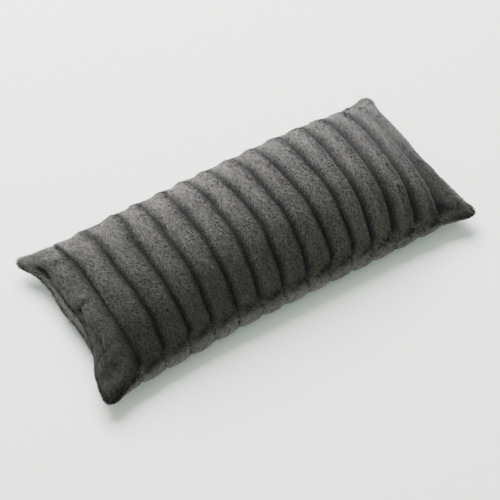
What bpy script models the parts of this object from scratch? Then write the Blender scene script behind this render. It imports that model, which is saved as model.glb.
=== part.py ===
"""Long faux fur throw cushion: a ribbed front panel and a ribbed back panel
sewn edge to edge and filled.

The two panels, their one seam and the filling make one closed solid. It is
shaped as the filled cushion lies on its back: crowned front, sides drawn in
by the filling, blunt corners, seam set as a crease between the splayed lips
of the pile, fourteen narrow channels that run round both panels, and an
underside that has gone flat where it rests.

Metres, +Z up. X runs along the length, Y across it, Z = 0 is the surface
that the cushion rests on. A place on a panel is (u, v): u runs -1 to 1 from
one short side to the other, v runs -1 to 1 from one long side to the other.
"""
import bmesh
import bpy
import numpy as np

# Outline between the lines of the tips, and the corners' radius in plan.
HALF_LENGTH = 0.4575
HALF_WIDTH = 0.2120
CORNER = 0.024
TIP_HEIGHT = 0.038

# How far the seam of the long sides stands above the line of the tips.
LONG_SIDE_RISE = 0.0245
LONG_SIDE_RISE_REACH = 3.4
# The cushion's middle plane rises this much towards the centre.
MIDDLE_RISE = 0.006

# The front panel's crown above the middle plane and the shape of its fall
# towards the seam; it is a little fuller towards +X.
CROWN = 0.1345
CROWN_ALONG = (4.4, 1.15)
CROWN_ACROSS = (2.75, 1.08)
CROWN_LEAN = 0.2
# The back panel's belly: how far the weight presses the pile's crests into
# the surface, and the shape of the panel's rise towards the seam.
PRESSED = 0.005
BELLY_ALONG = (5.0, 1.0)
BELLY_ACROSS = (5.0, 0.36)

# Pile: full height, the width over which it rounds up from the seam, and how
# much it splays sideways there.
PILE = 0.011
PILE_ROUNDING = 0.012
SPLAY = 1.5
# Channels: depth in the open panel, and the share of it left at the seam.
CHANNEL_DEPTH = 0.0105
CHANNEL_AT_SEAM = 0.4
CHANNEL_FADE = 0.05
# Ribs are flat-topped and lean towards +X.
RIB_FULLNESS = 0.45
RIB_LEAN = 1.25

# Channels, millimetres from the cushion's middle along X.
CHANNELS_MM = (
    -373, -314, -254, -196, -136, -80, -26,
    33, 87, 142, 195, 252, 312, 372,
)

# Seam of the short sides, millimetres drawn in by the filling.
# v, side at -X, side at +X
SHORT_SIDES = (
    (-1.00, 1, 4),
    (-0.85, 4, 7),
    (-0.70, 9, 9),
    (-0.45, 28, 12),
    (-0.18, 38, 14),
    (0.20, 37, 13),
    (0.60, 29, 9),
    (0.80, 17, 6),
    (1.00, 0, 0),
)
SHORT_SIDE_REACH = 6.0

# Seam of the long sides, millimetres drawn in by the filling.
# u, side at -Y, side at +Y
LONG_SIDES = (
    (-1.00, 0, 0),
    (-0.93, 9, 9),
    (-0.85, 19, 19),
    (-0.70, 31, 30),
    (-0.45, 38, 36),
    (0.00, 37, 37),
    (0.45, 34, 36),
    (0.70, 27, 30),
    (0.85, 18, 19),
    (0.93, 11, 9),
    (1.00, 5, 0),
)

# The back panel stands out past the seam: at the short side at -X by v, and
# at both long sides by u, in millimetres.
SHORT_SIDE_SWELL = (
    (-1.00, 0),
    (-0.70, 0),
    (-0.45, 2),
    (-0.18, 5),
    (0.20, 7),
    (0.60, 7),
    (0.80, 4),
    (1.00, 0),
)
LONG_SIDE_SWELL = (
    (-1.00, 0),
    (-0.85, 11),
    (-0.60, 18),
    (-0.30, 14),
    (0.10, 13),
    (0.45, 13),
    (0.70, 8),
    (0.85, 1),
    (1.00, 0),
)
# How far in from the seam each swell goes.
SHORT_SIDE_SWELL_WIDTH = 0.035
LONG_SIDE_SWELL_WIDTH = 0.060

# Puckers and hollows of the front panel beside the seam.
# u, v, radius along u, radius along v, depth in millimetres
PUCKERS = (
    (-0.951, 0.688, 0.022, 0.075, 9.0),
    (-0.951, -0.012, 0.022, 0.080, 9.0),
    (-0.920, 0.900, 0.030, 0.050, 4.5),
    (-0.958, -0.440, 0.016, 0.150, 7.0),
    (-0.900, -0.680, 0.022, 0.130, 5.0),
    (-0.950, -0.870, 0.016, 0.110, 5.5),
    (0.922, -0.916, 0.028, 0.060, 5.0),
    (0.960, -0.440, 0.022, 0.060, 4.0),
    (0.960, 0.450, 0.018, 0.180, 2.5),
)
# Folds of the front panel that stand up beside the seam.
# u and v of one end, u and v of the other end, half width and height in millimetres
FOLDS = (
    (-0.878, -0.436, -0.976, -0.740, 7.0, 3.5),
    (-0.916, 0.772, -0.820, 0.640, 9.0, 3.0),
)

# Where the mesh has its columns across a rib (share of its width), and its
# rows and end columns beside the seam (millimetres from it).
RIB_SHARES = (0.0, 0.14, 0.36, 0.66, 0.89)
END_SHARES = (0.14, 0.34, 0.52, 0.68, 0.80)
SEAM_STEPS_MM = (12.0, 7.8, 4.2, 1.8, 0.0)
ROWS = (0.0, 0.12, 0.24, 0.36, 0.47, 0.57, 0.66, 0.745, 0.82, 0.885)

MM = 0.001
NUDGE = 0.001
WELD_DISTANCE = 0.00001


def eased(position, table, column):
    """A smooth curve through the rows of a table, by its first column."""
    rows = np.array(table, float)
    at = rows[:, 0]
    value = rows[:, column]
    slope = np.gradient(value, at)
    index = np.clip(np.searchsorted(at, position) - 1, 0, len(at) - 2)
    span = at[index + 1] - at[index]
    t = (position - at[index]) / span
    start = (2 * t**3 - 3 * t**2 + 1) * value[index]
    start_slope = (t**3 - 2 * t**2 + t) * span * slope[index]
    end = (3 * t**2 - 2 * t**3) * value[index + 1]
    end_slope = (t**3 - t**2) * span * slope[index + 1]
    return start + start_slope + end + end_slope


def fade(share):
    """0 to 1 with a soft start and a soft end."""
    share = np.clip(share, 0, 1)
    return share * share * (3 - 2 * share)


def fall(across, shape):
    """1 in the middle, 0 at the seam."""
    return (1 - np.abs(across) ** shape[0]) ** shape[1]


def from_short_side(u):
    """Distance from the nearer short side, measured in the flat panel."""
    return (1 - np.abs(u)) * HALF_LENGTH


def from_long_side(v):
    """Distance from the nearer long side, measured in the flat panel."""
    return (1 - np.abs(v)) * HALF_WIDTH


def from_seam(u, v):
    """Distance from the nearest seam, measured in the flat panel."""
    return np.minimum(from_short_side(u), from_long_side(v))


def corner_rounding(u, v):
    """How far in X and Y a place near a corner moves in, so that corners are round in plan."""
    along = np.clip(1 - from_short_side(u) / CORNER, 0, 1)
    across = np.clip(1 - from_long_side(v) / CORNER, 0, 1)
    inward_x = CORNER * along * (1 - np.sqrt(1 - across**2 / 2))
    inward_y = CORNER * across * (1 - np.sqrt(1 - along**2 / 2))
    return np.sign(u) * inward_x, np.sign(v) * inward_y


def swell(distance, width):
    """0 at the seam, 1 a little way in, 0 again at the given width."""
    return np.sin(np.pi * np.sqrt(np.clip(distance / width, 0, 1))) ** 2


def cloth(u, v, face):
    """The filled panel's cloth without its pile: face 1 front, -1 back."""
    far_u = np.abs(u)
    short_side = np.where(u < 0, eased(v, SHORT_SIDES, 1), -eased(v, SHORT_SIDES, 2)) * MM
    long_side = np.where(v < 0, eased(u, LONG_SIDES, 1), eased(u, LONG_SIDES, 2)) * MM
    inward_x, inward_y = corner_rounding(u, v)
    x = u * HALF_LENGTH + short_side * far_u**SHORT_SIDE_REACH - inward_x
    y = v * (HALF_WIDTH - long_side) - inward_y
    middle = TIP_HEIGHT + LONG_SIDE_RISE * (1 - far_u**LONG_SIDE_RISE_REACH) * v**2
    middle = middle + MIDDLE_RISE * (1 - u**2) * (1 - v**2)
    if face > 0:
        lean = 1 + CROWN_LEAN * u * (1 - far_u)
        z = middle + CROWN * fall(u, CROWN_ALONG) * fall(v, CROWN_ACROSS) * lean
    else:
        belly = fall(u, BELLY_ALONG) * fall(v, BELLY_ACROSS)
        z = middle + (PILE - PRESSED - middle) * belly
        short_swell = eased(v, SHORT_SIDE_SWELL, 1) * MM
        short_swell = short_swell * swell(from_short_side(u), SHORT_SIDE_SWELL_WIDTH)
        long_swell = eased(u, LONG_SIDE_SWELL, 1) * MM
        long_swell = long_swell * swell(from_long_side(v), LONG_SIDE_SWELL_WIDTH)
        x = x - np.where(u < 0, short_swell, 0)
        y = y + np.sign(v) * long_swell
    return np.stack([x, y, z], axis=-1)


def outward(u, v, face):
    """Unit normals of the cloth."""
    inner_u = np.clip(u, -1 + 2 * NUDGE, 1 - 2 * NUDGE)
    inner_v = np.clip(v, -1 + 2 * NUDGE, 1 - 2 * NUDGE)
    along = cloth(inner_u + NUDGE, inner_v, face) - cloth(inner_u - NUDGE, inner_v, face)
    across = cloth(inner_u, inner_v + NUDGE, face) - cloth(inner_u, inner_v - NUDGE, face)
    normal = np.cross(along, across) * face
    return normal / np.linalg.norm(normal, axis=-1, keepdims=True)


def growth(u, v, face):
    """Unit direction in which the pile stands: out from the cloth, splayed beside the seam."""
    sideways_x = np.sign(u) * np.clip(1 - from_short_side(u) / PILE_ROUNDING, 0, 1)
    sideways_y = np.sign(v) * np.clip(1 - from_long_side(v) / PILE_ROUNDING, 0, 1)
    sideways = np.stack([sideways_x, sideways_y, np.zeros_like(u)], axis=-1)
    direction = outward(u, v, face) + SPLAY * sideways
    return direction / np.linalg.norm(direction, axis=-1, keepdims=True)


def rib_height(u):
    """0 in a channel, 1 on the crest of a rib."""
    x = u * HALF_LENGTH / MM
    at = np.array(CHANNELS_MM, float)
    index = np.clip(np.searchsorted(at, x) - 1, 0, len(at) - 2)
    share = np.clip((x - at[index]) / (at[index + 1] - at[index]), 0, 1)
    between = np.sin(np.pi * share**RIB_LEAN)
    first_end = (at[0] - x) / (HALF_LENGTH / MM + at[0])
    last_end = (x - at[-1]) / (HALF_LENGTH / MM - at[-1])
    end_share = np.clip(np.maximum(first_end, last_end), 0, 1)
    end_rib = np.sin(np.pi / 2 * np.clip(2 * end_share, 0, 1))
    in_end = (x < at[0]) | (x > at[-1])
    return np.clip(np.where(in_end, end_rib, between), 0, 1) ** RIB_FULLNESS


def fold_height(u, v, fold):
    """Height of one fold, from 0 at its ends to 1 along its middle."""
    start_u, start_v, end_u, end_v, half_width, _height = fold
    size = np.array([HALF_LENGTH, HALF_WIDTH]) / MM
    start = np.array([start_u, start_v]) * size
    run = np.array([end_u, end_v]) * size - start
    place = np.stack([u, v], axis=-1) * size - start
    share = np.clip((place @ run) / (run @ run), 0, 1)
    off = np.linalg.norm(place - share[..., None] * run, axis=-1)
    return np.exp(-((off / half_width) ** 2)) * np.sin(np.pi * (0.15 + 0.7 * share))


def pile_height(u, v, face):
    """How far the tips of the pile stand off the cloth."""
    near = 1 - np.clip(from_seam(u, v) / PILE_ROUNDING, 0, 1)
    rounding = np.sqrt(1 - near**2)
    depth = fade(from_seam(u, v) / CHANNEL_FADE)
    depth = CHANNEL_AT_SEAM + (1 - CHANNEL_AT_SEAM) * depth
    height = PILE - CHANNEL_DEPTH * depth * (1 - rib_height(u))
    if face > 0:
        for at_u, at_v, radius_u, radius_v, dent in PUCKERS:
            reach = ((u - at_u) / radius_u) ** 2 + ((v - at_v) / radius_v) ** 2
            height = height - dent * MM * np.exp(-reach)
        for fold in FOLDS:
            height = height + fold[-1] * MM * fold_height(u, v, fold)
    return height * rounding


def panel_points(u, v, face):
    """Points of a panel's furry outside, flat where it rests."""
    points = cloth(u, v, face) + pile_height(u, v, face)[..., None] * growth(u, v, face)
    points[..., 2] = np.maximum(points[..., 2], 0)
    return points


def columns():
    """u of the mesh's columns, from one short side to the other."""
    half_mm = HALF_LENGTH / MM
    places = []
    for left, right in zip(CHANNELS_MM[:-1], CHANNELS_MM[1:]):
        places += [left + share * (right - left) for share in RIB_SHARES]
    places.append(CHANNELS_MM[-1])
    for sign, channel in ((-1, CHANNELS_MM[0]), (1, CHANNELS_MM[-1])):
        places += [channel + share * (sign * half_mm - channel) for share in END_SHARES]
        places += [sign * (half_mm - step) for step in SEAM_STEPS_MM]
    return np.array(sorted(places)) / half_mm


def rows():
    """v of the mesh's rows, from one long side to the other."""
    beside_seam = [1 - step * MM / HALF_WIDTH for step in SEAM_STEPS_MM]
    half = list(ROWS) + beside_seam
    return np.array(sorted([-v for v in half if v > 0] + half))


def add_panel(mesh, face):
    """One panel as a grid laid on its shape."""
    column_u = columns()
    row_v = rows()
    grid = bmesh.ops.create_grid(
        mesh, x_segments=len(column_u) - 1, y_segments=len(row_v) - 1, size=1.0
    )
    points = grid["verts"]
    flat = np.array([point.co[:] for point in points])
    column = np.rint((flat[:, 0] + 1) / 2 * (len(column_u) - 1)).astype(int)
    row = np.rint((flat[:, 1] + 1) / 2 * (len(row_v) - 1)).astype(int)
    shaped = panel_points(column_u[column], row_v[row], face)
    for point, place in zip(points, shaped):
        point.co = place


def make_cushion():
    """Both panels, closed along the seam all round."""
    mesh = bmesh.new()
    add_panel(mesh, 1)
    add_panel(mesh, -1)
    bmesh.ops.remove_doubles(mesh, verts=mesh.verts[:], dist=WELD_DISTANCE)
    bmesh.ops.recalc_face_normals(mesh, faces=mesh.faces[:])
    data = bpy.data.meshes.new("cushion")
    mesh.to_mesh(data)
    mesh.free()
    return bpy.data.objects.new("cushion", data)


def centre_on_origin(thing):
    """Put the middle of the length and of the width over the origin."""
    places = np.array([vertex.co[:] for vertex in thing.data.vertices])
    middle = (places.max(axis=0) + places.min(axis=0)) / 2
    for vertex in thing.data.vertices:
        vertex.co.x -= middle[0]
        vertex.co.y -= middle[1]


def fur_material():
    """Short charcoal grey pile."""
    material = bpy.data.materials.new("charcoal_fur")
    material.use_nodes = True
    shader = material.node_tree.nodes["Principled BSDF"]
    shader.inputs["Base Color"].default_value = (0.078, 0.079, 0.075, 1.0)
    shader.inputs["Roughness"].default_value = 0.95
    return material


for leftover in list(bpy.data.objects):
    bpy.data.objects.remove(leftover)

collection = bpy.data.collections.new("faux_fur_cushion")
bpy.context.scene.collection.children.link(collection)
cushion = make_cushion()
centre_on_origin(cushion)
cushion.data.materials.append(fur_material())
collection.objects.link(cushion)
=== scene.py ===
"""Looks of the long faux fur throw cushion: two ribbed fur panels sewn edge to
edge and filled, lying on its back.

The panels' cloth is shaped from the cushion's sizes, puckered by a cloth
simulation of the filling's pressure, and raised into ribs. Geometry Nodes
then grow locks of short pile from it, which fan out over every rib, lie
short in the channels and lean out over the seams. A place on a panel is
(u, v): u runs -1 to 1 along the length, v runs -1 to 1 across it. Face 1 is
the front panel, -1 the back. Metres, +Z up; the cushion rests on Z = 0.
"""
import math

import bpy
import numpy as np
from mathutils import Matrix, Vector


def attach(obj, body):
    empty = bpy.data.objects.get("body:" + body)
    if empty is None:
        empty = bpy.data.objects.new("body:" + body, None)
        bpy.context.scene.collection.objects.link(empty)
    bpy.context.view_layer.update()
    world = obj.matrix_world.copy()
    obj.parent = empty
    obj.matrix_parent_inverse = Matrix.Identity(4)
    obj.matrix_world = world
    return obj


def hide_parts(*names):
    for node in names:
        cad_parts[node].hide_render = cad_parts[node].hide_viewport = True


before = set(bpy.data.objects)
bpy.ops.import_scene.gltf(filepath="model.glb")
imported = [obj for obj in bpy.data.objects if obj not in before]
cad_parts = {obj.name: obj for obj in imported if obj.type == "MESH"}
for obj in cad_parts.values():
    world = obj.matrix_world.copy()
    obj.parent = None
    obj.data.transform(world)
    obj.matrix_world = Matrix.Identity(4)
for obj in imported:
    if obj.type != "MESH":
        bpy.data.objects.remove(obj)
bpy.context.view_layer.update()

MM = 0.001
TINY = 1e-12
FACES = (1, -1)

# Outline of the panels, their crown and their belly: the solid's own sizes.
HALF_LENGTH = 0.4575
HALF_WIDTH = 0.2120
CORNER = 0.024
TIP_HEIGHT = 0.038
LONG_SIDE_RISE = 0.0245
LONG_SIDE_RISE_REACH = 3.4
MIDDLE_RISE = 0.006
CROWN = 0.1345
CROWN_ALONG = (4.4, 1.15)
CROWN_ACROSS = (2.75, 1.08)
CROWN_LEAN = 0.2
PRESSED = 0.005
BELLY_ALONG = (5.0, 1.0)
BELLY_ACROSS = (5.0, 0.36)

# Pile and channels, as on the solid.
PILE = 0.011
PILE_ROUNDING = 0.012
SPLAY = 1.5
LEFT_END_SPLAY = 0.5
CHANNEL_DEPTH = 0.0105
CHANNEL_SINK = 0.007
CHANNEL_START = 0.016
CHANNEL_SINK_WIDTH = 0.16
# Channels: place along X, and how far the front ones stray towards +X at each row, millimetres.
BEND_ROWS = (-0.92, -0.6, -0.2, 0.2, 0.6)
CHANNEL_BENDS = (
    (-373, 8, 0, -9, -11, -5),
    (-314, 8, 5, -6, -7, -1),
    (-254, 10, 1, -4, -4, 10),
    (-196, 2, 1, -1, -1, 2),
    (-136, 2, -1, 0, -1, 0),
    (-80, -2, 2, 3, 3, 1),
    (-26, 4, 5, 6, 3, -1),
    (33, 4, 5, 2, 2, 0),
    (87, 13, 8, 3, -1, -1),
    (142, 11, 8, 6, 5, 5),
    (195, 5, 4, 6, 9, 12),
    (252, 3, 11, 10, 15, 14),
    (312, 3, 11, 15, 23, 17),
    (372, 5, 11, 13, 18, 24),
)
CHANNELS_MM = tuple(row[0] for row in CHANNEL_BENDS)
BEND_FADE = 0.018
# Ribs of each face: v, channel depth, sinking of the cloth, fullness, lean, width of the channel's
# painted shade.
RIBS = {
    1: (
        (-1, 0.8, 1, 0.7, 1.15, 0.34),
        (-0.8, 1, 1, 0.65, 1.15, 0.34),
        (0.25, 1, 0.9, 0.6, 1.2, 0.34),
        (0.55, 0.45, 0.25, 0.55, 1.4, 0.28),
        (0.7, 0.1, 0.03, 0.45, 1.6, 0.16),
        (1, 0.1, 0.03, 0.45, 1.6, 0.1),
    ),
    -1: (
        (-1, 0.5, 0.35, 0.35, 1, 0.14),
        (-0.85, 0.5, 0.3, 0.35, 1, 0.18),
        (-0.75, 0.4, 0.2, 0.4, 1, 0.18),
        (-0.5, 0.9, 0.6, 0.75, 1, 0.3),
        (0.5, 0.9, 0.6, 0.75, 1, 0.3),
        (0.75, 0.32, 0.15, 0.4, 1, 0.12),
        (1, 0.22, 0.1, 0.4, 1, 0.1),
    ),
}
# Towards +X the front's valleys are shallower and wider: u of start and end, factor on each value.
SOFT_END = (0.25, 0.75)
SOFT_END_FORM = (1.3, 1.0, 1.6, 0.85, 1.7)
# Beside the far seam a rib stands highest at its end towards +X: share of its width, millimetres.
FAR_RIB = ((0, 3.4), (0.3, 0.8), (0.62, -1), (0.8, 1.4), (0.92, 5.6), (1, 4.6))
FAR_RIB_ROWS = (0.42, 0.66)

# Millimetres by which the filling draws in the short sides: v, side at -X, side at +X.
SHORT_SIDES = (
    (-1, 1, 4), (-0.85, 4, 7), (-0.7, 9, 9), (-0.45, 33, 12), (-0.18, 48, 14), (0.2, 50, 13),
    (0.6, 36, 9), (0.8, 17, 6), (1, 0, 0),
)
SHORT_SIDE_REACH = 6.0
# Millimetres by which the filling draws in the long sides: u, side at -Y, side at +Y.
LONG_SIDES = (
    (-1, 0, 0), (-0.93, 9, 9), (-0.85, 19, 19), (-0.7, 31, 30), (-0.45, 38, 36), (0, 37, 37),
    (0.45, 34, 36), (0.7, 27, 30), (0.85, 18, 19), (0.93, 11, 9), (1, 5, 0),
)
# Millimetres by which the back panel stands out past the seam: at the side at -X by v, then by u.
SHORT_SIDE_SWELL = (
    (-1, 0), (-0.7, 0), (-0.45, 2), (-0.18, 13), (0.2, 20), (0.6, 8), (0.8, 0), (1, 0),
)
LONG_SIDE_SWELL = (
    (-1, 0), (-0.85, 11), (-0.6, 18), (-0.3, 14), (0.1, 13), (0.45, 13), (0.7, 8),
    (0.85, 1), (1, 0),
)
SHORT_SIDE_SWELL_WIDTH = 0.050
LONG_SIDE_SWELL_WIDTH = 0.060

# Puckers: u, v, radius along u, radius along v, depth in millimetres, how much painted shade
# darkens them.
PUCKERS = (
    (-0.925, 0.92, 0.026, 0.05, 10, 0.9),
    (-0.965, 0.71, 0.022, 0.08, 12, 0.9),
    (-0.98, 0.61, 0.016, 0.07, 10, 0.9),
    (-0.945, 0.015, 0.018, 0.06, 12, 0.85),
    (-0.9, 0.005, 0.045, 0.032, 5, 0.5),
    (-0.95, -0.12, 0.012, 0.08, 5, 0.6),
    (-0.925, -0.46, 0.016, 0.08, 8, 0.8),
    (-0.92, -0.58, 0.016, 0.06, 8, 0.8),
    (-0.905, -0.79, 0.012, 0.06, 3, 0.45),
    (-0.957, -0.87, 0.014, 0.06, 4, 0.6),
    (-0.81, -0.63, 0.05, 0.13, 3, 0.5),
    (-0.925, -0.965, 0.03, 0.04, 4, 0.6),
    (0.914, -0.881, 0.028, 0.07, 6, 0.7),
    (0.89, -0.56, 0.022, 0.16, 3, 0.45),
    (0.96, -0.4, 0.022, 0.06, 4, 0.4),
)
# Folds: u and v of both ends, half width and height in millimetres.
FOLDS = (
    ((-0.9, -0.52), (-0.982, -0.81), 3.2, 5),
    ((-0.93, -0.54), (-0.965, -0.7), 2.8, -4.5),
    ((-0.955, -0.16), (-0.975, -0.76), 3.5, 2.5),
    ((-0.93, 0.8), (-0.82, 0.6), 9, 3.5),
    ((-0.905, 0.12), (-0.86, 0.02), 7, 2.5),
    ((-0.905, -0.08), (-0.87, -0.33), 12, 2.5),
    ((0.915, 0.7), (0.935, 0.03), 5, 2.2),
    ((0.885, 0.66), (0.905, 0.05), 4, -2.2),
)
FOLD_ENDS = 0.15
# Painted highlight on a fold's crest, and painted shade in a crease, per millimetre of its height.
FOLD_HIGHLIGHT = 0.06

# Cloth under the pile: its share of the pile's height, its lowest level and its grid.
CLOTH_SHARE = 0.78
CLOTH_LEVEL = 0.0012
COLUMN_SHARES = (0, 0.03, 0.07, 0.12, 0.19, 0.28, 0.39, 0.51, 0.63, 0.74, 0.83, 0.9, 0.95, 0.98)
END_COLUMNS = 22
SKIN_ROWS = 108
ROWS_GATHER = 0.4
SEAM_REACH = 0.020

# Unevenness: its amount, the length and width of its lumps in metres, and its seed.
CHANNEL_WANDER_MM = (1.6, 0.050, 0.035, 30)
RIB_LUMPS_MM = (0.5, 0.030, 0.045, 40)
NAP_SWAYS_DEG = ((8, 0.024, 0.03, 5), (6, 0.009, 0.012, 6))
LEAN_SWAY_DEG = (3, 0.014, 0.018, 7)
EVEN_EDGE = 0.05

# Filling: the panels as cut, and the simulated cloth with its grid's count and gathering.
CUT_LENGTH = 0.93
CUT_WIDTH = 0.43
FILLING_COLUMNS = (121, 0.2)
FILLING_ROWS = (57, 0.3)
FILLING_FRAMES = 20
FILLED_CLOTH = {
    "quality": 6,
    "mass": 0.3,
    "tension_stiffness": 10,
    "compression_stiffness": 10,
    "shear_stiffness": 4,
    "bending_stiffness": 0.3,
    "use_pressure": True,
    "uniform_pressure_force": 4.0,
}
EVEN_PASSES = 24
SOFT_PASSES = 2
FURTHEST_PUSH = 0.0032

# Locks of pile: how many in each piece of a face, and their form. Pairs are a range.
LOCKS = {1: 62000, -1: 45000}
PILE_SEED = 20
LOCK_WIDTH = 0.0016
LOCK_WIDTHS = (0.7, 1.2)
LOCK_LENGTHS = (0.75, 1.2)
LOCK_CURL = 0.25
LOCK_BEND = 0.55
LOCK_WIDTH_AT_BEND = 0.84
SHORTEST_LOCK = 0.0016
LONGEST_LOCK = 0.0060
FRINGE = 0.001
REST_LEVEL = 0.0003
# Under the back locks get fewer: height where that starts, its span downwards, share lost.
UNDERSIDE = (0.012, 0.008)
UNDERSIDE_LOSS = 0.6
# Nap over a front rib: share of its width, degrees from the rib's line towards +X.
NAP_FAN_DEG = ((0, -40), (0.25, -10), (0.6, 25), (0.85, 45), (1, 45))
END_FAN_DEG = (-30, 10)
BACK_NAP_DEG = 55
# Share of the front's locks that are stroked against the nap, and how much locks differ, by v.
AGAINST = ((-1, 0.2), (-0.8, 0.5), (-0.5, 0.85), (0.2, 0.3), (1, 0.4))
STROKES = ((-1, 0.75), (-0.5, 1), (0.1, 1.35), (1, 1.5))
# By face: how far the roots lean over from upright, hang out past the seams and fly apart.
LEAN_DEG = {1: 50, -1: 68}
SEAM_HANG = {1: 1.2, -1: 0.3}
FLY = {1: 0.3, -1: 0.15}
LOCK_WANDER = 0.4
LOCK_WANDER_SIZE = 0.0075
ROLL = 0.9
CLUMP_SIZE = 0.0040
CLUMPING = 0.2
CLUMP_POWER = 1.4
STREAK_WIDTH = 0.0035
STREAK_STEP = 0.0028
STREAK_STEPS = (-2, -1, 0, 1, 2)
STREAK_GAIN = 4.0
STREAK_SHARE = 0.75

# Single hairs that stand out past the seams.
STRAY_HAIRS = 900
STRAY_SEED = 61
STRAY_LENGTH = (0.005, 0.013)
STRAY_WIDTH = 0.00045
STRAY_TAPER = 0.8
STRAY_STEPS = 3
STRAY_ABOVE = 0.008
STRAY_LEVEL = 0.0004
STRAY_SPREAD = 0.002
STRAY_LIFT = 0.5
STRAY_FLY = 0.6
STRAY_CURL = 0.5
STRAY_DROOP = 0.35
STRAY_TWIST = 0.3
STRAY_ALONG = (0.3, 1)
STRAY_SHADES = (0.5, 1.2)

# Painted shade in the channels: how much of the tips' light dye is left there, and how dark their
# very line is.
CHANNEL_SHADED_TONE = 0.25
SOFT_END_SHADED_TONE = 0.12
CHANNEL_CORE_SHADE = (0.6, 0.045)
SHADE_AT_SEAM = 0.3
# A channel's painted shade is narrower on its +X side than on its -X side; it evens out by v.
SHADE_SIDES = (1.3, 0.62)
SHADE_SIDES_ROWS = (0.1, 0.6)
# The last channel's painted shade fades away towards the far side: millimetres along X, v, share of
# the shade that is left.
LAST_CHANNEL_MM = (342, 354)
LAST_CHANNEL_ROWS = (-0.2, 0.3)
LAST_CHANNEL_SHADE_LEFT = 0.35
BACK_TONE = 0.80
# Painted shade on the back beside its -X end, under the front's overhang: the share left, and its
# width.
LEFT_BACK_SHADED_TONE = 0.22
LEFT_BACK_SHADE_WIDTH = 0.06
# Painted shade on the back: how light it is along u and across v, darker towards +X and towards the
# far side underneath.
BACK_SHADE_ALONG = ((-1, 1), (0.2, 1), (0.8, 0.7), (1, 0.6))
BACK_SHADE_ACROSS = ((-1, 1), (-0.5, 1), (0.2, 0.5), (1, 0.42))
# Painted light and shade on the front: how much of its light dye is kept along u, at its near side
# and at its far side.
NEAR_PAINTED_LIGHT = (
    (-0.92, 0.2), (-0.79, 0.29), (-0.6, 0.4), (0.1, 0.55), (0.35, 0.65), (0.66, 0.88),
    (0.79, 0.64), (0.92, 0.52),
)
FAR_PAINTED_LIGHT = ((-0.92, 0.96), (-0.6, 0.72), (-0.15, 0.86), (0.35, 0.71), (0.92, 0.73))
# The far side's share of the painted light across v.
FAR_PAINTED_LIGHT_SHARE = ((-0.65, 0.02), (-0.3, 0.28), (0, 0.62), (0.65, 1))
# Painted light tint: how cool the front's tips are across v, 0 to 1, cool on the far side that the
# soft box lights and warm on the shaded near side, and how much cooler they get towards +X.
COOL_LIGHT_ROWS = (
    (-1, 0.1), (-0.9, 0.12), (-0.75, 0.45), (-0.5, 0.62), (-0.25, 0.7), (0, 0.88),
    (0.25, 0.94), (1, 0.98),
)
COOL_LIGHT_ALONG = 0.28

# Dyes: painted shade at the roots, then warm and cool at the tips, a painted light tint, and on the
# cloth between the locks.
SHADED_ROOT_DYE = (0.012, 0.012, 0.0115)
WARM_SHADE_DYE = (0.138, 0.1335, 0.1035)
COOL_LIGHT_DYE = (0.138, 0.1335, 0.1290)
ROOT_DYE = (0.062, 0.0625, 0.0595)
ROOT_REACH = 0.35
BACK_SHADED_ROOT_DYE = (0.034, 0.0325, 0.029)
BACK_DYE = (0.150, 0.143, 0.125)
BACK_ROOT_DYE = (0.110, 0.105, 0.092)
BACK_ROOT_REACH = 0.8
TIP_POWER = 0.4
CONTRAST = 1.0
BACK_CONTRAST = 1.1
SHADE_RANGE = 0.9
PATCH_RANGE = 0.35
PATCH_SIZE = 0.055
LOCK_RANGE = 0.45
LOCK_SHADE_SIZE = 0.0045

# Gloss and sheen.
SHEEN = (0.2, 0.4)
BACK_SHEEN = (0.3, 0.6)
SHEEN_TINT = (0.99, 0.96, 1.0)
GLOSS = 0.15
GLOSS_ROUGHNESS = 0.8
ROOT_SHEEN = 0.2
# The channels' cloth has no sheen, a shaded copy of the roots' cloth: painted shade.
SHADED_CHANNEL_SHEEN = 0.0
CLOTH_ROUGHNESS = 0.95
CLOTH_GLOSS = 0.1
GRAIN_SIZE = 0.0012
GRAIN_BUMP = (0.6, 0.001)
# Cloth faces whose painted shade leaves less than this take the shaded channel cloth.
SHADED_CLOTH_BELOW = 0.75
# Locks take their normal from the fur's outside, turned up beside the seam, and partly their own.
SEAM_LIFT = 0.45
OWN_NORMAL = 0.25

# Camera at the photograph's angle.
CAMERA_AT = (-0.92178, -1.48003, 2.20295)
CAMERA_LOOKS = (0.32742, 0.52632, -0.78472)
CAMERA_ROLL_DEG = 0.11
CAMERA_REACH = 60
LENS_MM = 93.12
SENSOR_MM = 36.0

# Light: a large soft box behind the cushion and an even pale studio.
SOFT_BOX_DIRECTION_DEG = 12
SOFT_BOX_ELEVATION_DEG = 49
SOFT_BOX_DISTANCE = 4.5
SOFT_BOX_SIZE = 3.6
SOFT_BOX_WATTS = 1050
SOFT_BOX_COLOUR = (0.985, 0.975, 1.0)
STUDIO_STRENGTH = 0.98
STUDIO_COLOUR = (0.88, 1.0, 0.93)
FLOOR_REACH = 6
FLOOR_COLOUR = (0.764, 0.760, 0.727)
FLOOR_ROUGHNESS = 0.9
FLOOR_GLOSS = 0.1
# Light that the pale floor gives back into the cushion's shadow.
FLOOR_GLOW = (0.72, 1.0, 0.92)
FLOOR_GLOW_STRENGTH = 0.08


def eased(position, table, column):
    """A smooth curve through the rows of a table, by its first column."""
    at, value = np.array(table)[:, [0, column]].T
    slope = np.gradient(value, at)
    index = np.clip(np.searchsorted(at, position) - 1, 0, len(at) - 2)
    span = at[index + 1] - at[index]
    t = (position - at[index]) / span
    start = (2 * t**3 - 3 * t**2 + 1) * value[index]
    start_slope = (t**3 - 2 * t**2 + t) * span * slope[index]
    end = (3 * t**2 - 2 * t**3) * value[index + 1]
    end_slope = (t**3 - t**2) * span * slope[index + 1]
    return start + start_slope + end + end_slope


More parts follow.
